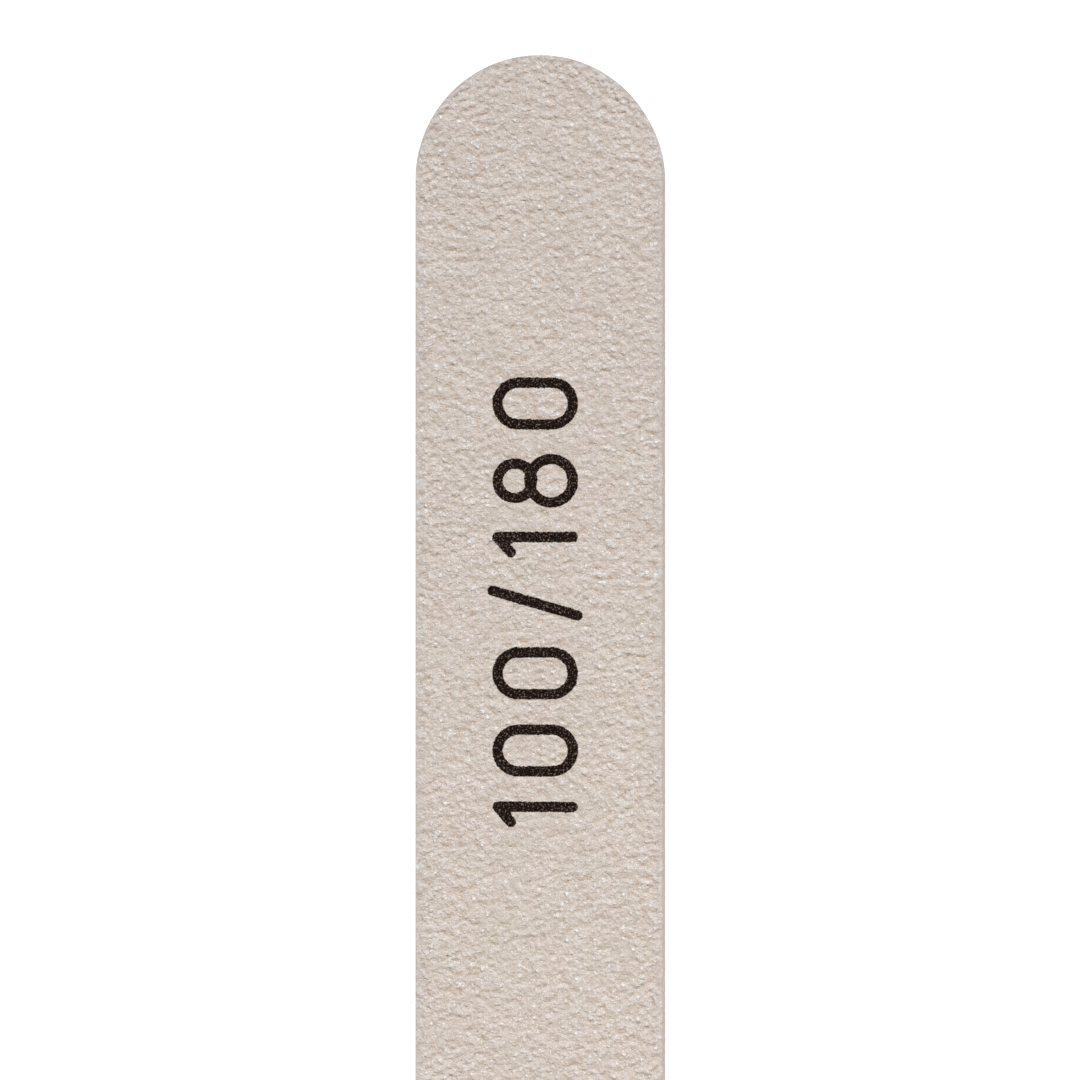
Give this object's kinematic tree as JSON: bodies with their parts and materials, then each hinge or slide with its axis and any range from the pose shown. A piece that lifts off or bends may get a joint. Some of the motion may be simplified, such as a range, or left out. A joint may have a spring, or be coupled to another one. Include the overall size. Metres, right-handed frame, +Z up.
{
  "type": "nail file",
  "caption": "Straight cushioned nail file: a flat board with round ends, made of a stiff core, foam pads and gritty abrasive sheets, coarse on one face and fine on the other.",
  "frame": {"origin": "centre of the fine face, which the board lies on", "axes": "+Y along the board's length, +X across its width, +Z up out of the coarse face"},
  "size_m": [0.019, 0.178, 0.004],
  "materials": {
    "coarse_face": "matt pale beige abrasive with a coarse pebbled grain and small bright glints",
    "fine_face": "matt pale beige abrasive with a fine even grain",
    "coarse_grit": "packed coarse mineral grain, seen on the cut edge",
    "fine_grit": "packed fine mineral grain, seen on the cut edge",
    "bond_resin": "hard tan resin",
    "backing_paper": "waterproof cream paper with a fibrous cut edge",
    "adhesive_film": "thin pale adhesive film",
    "foam": "soft pale warm grey closed-cell foam, matt, with fine cells on the cut edge",
    "core_plastic": "stiff pale warm grey plastic sheet, satin"
  },
  "bodies": {
    "root": {"core_board": "core_plastic", "core_adhesive_top": "adhesive_film", "core_adhesive_bottom": "adhesive_film", "foam_pad_top": "foam", "foam_pad_bottom": "foam", "sheet_adhesive_top": "adhesive_film", "sheet_adhesive_bottom": "adhesive_film", "backing_paper_top": "backing_paper", "backing_paper_bottom": "backing_paper", "make_coat_top": "bond_resin", "make_coat_bottom": "bond_resin", "coarse_grain_top": "coarse_grit", "fine_grain_bottom": "fine_grit", "anti_clog_coat_top": "coarse_face", "anti_clog_coat_bottom": "fine_face"}
  },
  "joints": []
}
